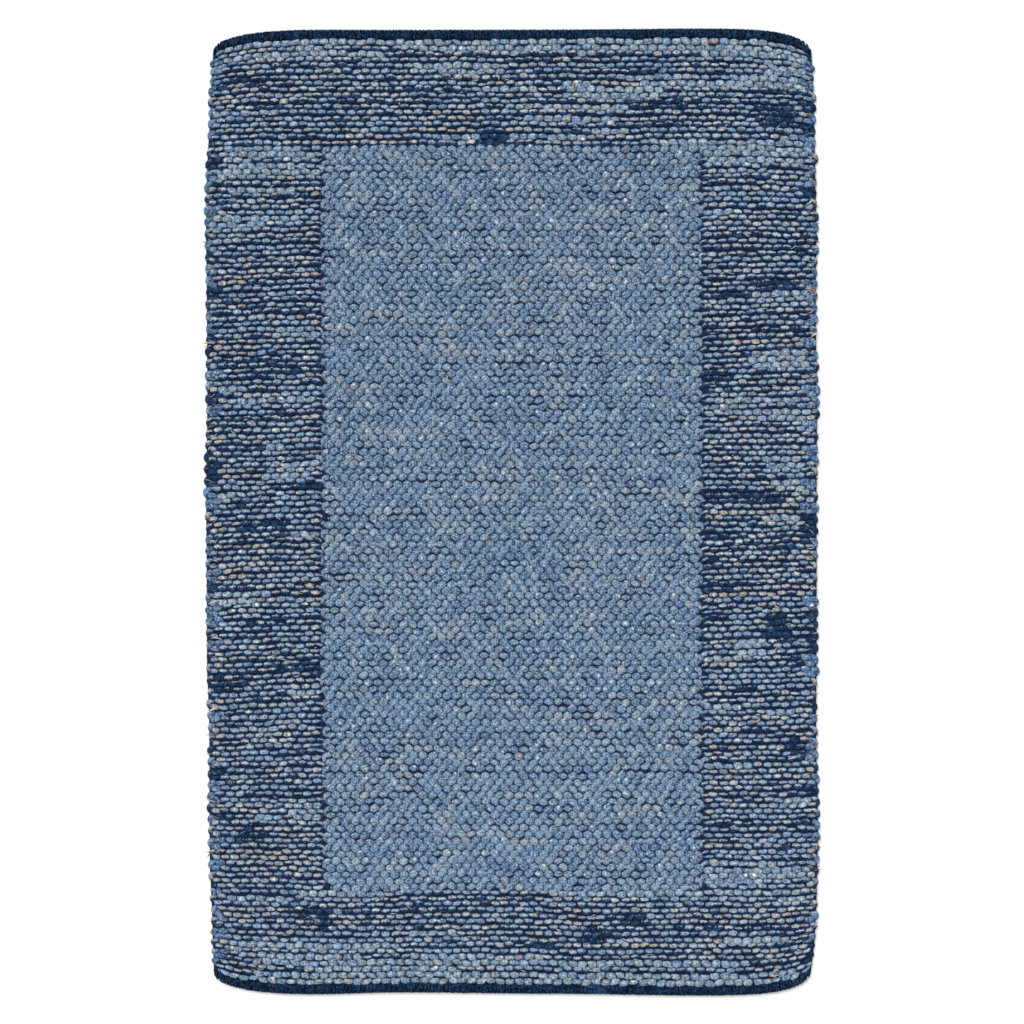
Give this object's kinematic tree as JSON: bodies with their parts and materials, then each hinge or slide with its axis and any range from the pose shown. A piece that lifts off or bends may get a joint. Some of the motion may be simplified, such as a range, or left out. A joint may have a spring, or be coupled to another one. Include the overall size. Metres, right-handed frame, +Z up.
{
  "type": "jute rug",
  "caption": "Flat handwoven rectangular rug with a pebbled field, a striped border, turned selvedges and an overcast binding along each end.",
  "frame": {"origin": "on the floor, under the middle of the rug", "axes": "+Z up from the floor, +Y along the rug's length, +X across it"},
  "size_m": [0.9044, 1.422, 0.011],
  "materials": {
    "dyed_jute_weave": "matt, coarse weft-faced weave of blue, grey and navy yarn",
    "navy_binding_yarn": "matt overcast yarn"
  },
  "bodies": {
    "root": {"woven_cloth": "dyed_jute_weave", "far_end_binding": "navy_binding_yarn", "near_end_binding": "navy_binding_yarn"}
  },
  "joints": []
}
